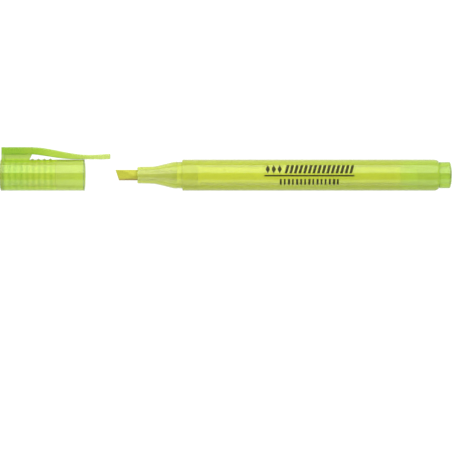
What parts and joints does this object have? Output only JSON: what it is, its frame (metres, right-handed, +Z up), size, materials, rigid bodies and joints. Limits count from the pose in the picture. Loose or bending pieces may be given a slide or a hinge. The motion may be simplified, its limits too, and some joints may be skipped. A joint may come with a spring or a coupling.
{
  "type": "highlighter",
  "caption": "Slim round see-through highlighter with a chisel felt nib, its cap with a moulded pocket clip pulled off in front of the nib.",
  "frame": {"origin": "on the pen axis, halfway along the barrel's outside", "axes": "+X along the pen axis from the nib to the tail, +Y the way the clip stands off the cap, +Z up from the surface the pen lies on"},
  "size_m": [0.1726, 0.0165, 0.0118],
  "materials": {
    "barrel_plastic": "glossy see-through moulded plastic, fluorescent yellow-green",
    "nose_plastic": "glossy see-through moulded plastic",
    "nib_fibre": "compressed felt fibre, soaked with ink",
    "reservoir_fibre": "soft drawn fibre, soaked with ink",
    "reservoir_film": "thin clear wrapping film",
    "plug_plastic": "glossy see-through moulded plastic, green",
    "cap_plastic": "glossy see-through moulded plastic, green",
    "liner_plastic": "satin see-through moulded plastic",
    "clip_plastic": "glossy see-through moulded plastic, green",
    "print_ink": "thin dark printing ink"
  },
  "bodies": {
    "pen": {"barrel": "barrel_plastic", "front_section": "nose_plastic", "nib": "nib_fibre", "reservoir_core": "reservoir_fibre", "reservoir_film": "reservoir_film", "end_plug": "plug_plastic"},
    "cap": {"cap_shell": "cap_plastic", "cap_liner": "liner_plastic"},
    "clip": {"pocket_clip": "clip_plastic"}
  },
  "joints": [
    {"name": "cap_slide", "type": "slide", "parent": "pen", "child": "cap", "axis": [1, 0, 0], "range_m": [0, 0.03715]},
    {"name": "clip_flex", "type": "hinge", "parent": "cap", "child": "clip", "pos_m": [-0.10614, 0.01063, 0], "axis": [0, 0, 1], "range_deg": [0, 5], "stiffness_Nm_per_rad": 2}
  ]
}
